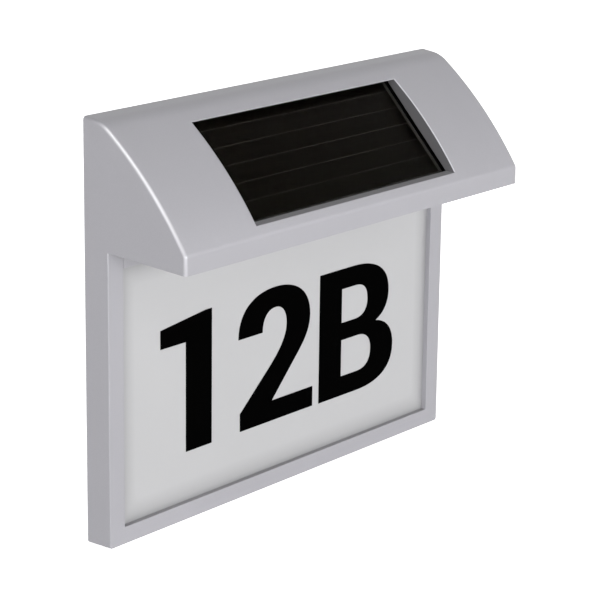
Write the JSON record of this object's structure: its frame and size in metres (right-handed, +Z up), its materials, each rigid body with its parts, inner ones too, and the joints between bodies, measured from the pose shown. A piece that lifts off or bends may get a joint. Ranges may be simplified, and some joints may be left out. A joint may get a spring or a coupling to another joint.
{
  "type": "illuminated house number sign",
  "caption": "Solar house number sign: a framed opal light box under a curved hood with a solar module, hung on a wall by keyholes in its back.",
  "frame": {"origin": "middle of the flat rear, on the wall's surface", "axes": "+X to the right as seen from the street, -Y out of the wall towards the viewer, +Z up"},
  "size_m": [0.2, 0.0473, 0.1568],
  "materials": {
    "silver_paint": "satin silver paint on a plastic moulding",
    "grey_plastic": "fine texture",
    "opal_plastic": "satin opal acrylic",
    "clear_acrylic": "clear acrylic",
    "white_sheet": "white film",
    "solar_cover": "smooth clear cover",
    "solar_film": "dark thin film",
    "foam_tape": "closed-cell foam",
    "circuit_board": "solder mask",
    "led_case": "moulded",
    "black_plastic": "moulded",
    "cell_case": "plain sleeve",
    "spring_steel": "nickel plated",
    "screw_steel": "zinc plated",
    "seal_rubber": "soft",
    "lead_insulation": "soft PVC"
  },
  "bodies": {
    "sign": {"front_housing": "silver_paint", "back_plate": "grey_plastic", "number_panel": "opal_plastic", "light_guide": "clear_acrylic", "reflector_sheet": "white_sheet", "led_board": "circuit_board", "leds": "led_case", "solar_glass": "solar_cover", "solar_film": "solar_film", "solar_tape": "foam_tape", "hood_base": "grey_plastic", "control_board": "circuit_board", "board_components": "black_plastic", "switch_body": "black_plastic", "battery_cells": "cell_case", "battery_contacts": "spring_steel", "case_screws": "screw_steel", "base_screws": "screw_steel", "board_screws": "screw_steel", "solar_leads": "lead_insulation", "battery_leads": "lead_insulation", "led_leads": "lead_insulation", "switch_leads": "lead_insulation"},
    "switch": {"switch_slider": "black_plastic"},
    "door": {"battery_door": "grey_plastic", "door_seal": "seal_rubber", "door_screws": "screw_steel"}
  },
  "joints": [
    {"name": "switch_slide", "type": "slide", "parent": "sign", "child": "switch", "axis": [1, 0, 0], "range_m": [0, 0.003]},
    {"name": "battery_door_lift", "type": "slide", "parent": "sign", "child": "door", "axis": [0, 1, 0], "range_m": [0, 0.03]}
  ]
}
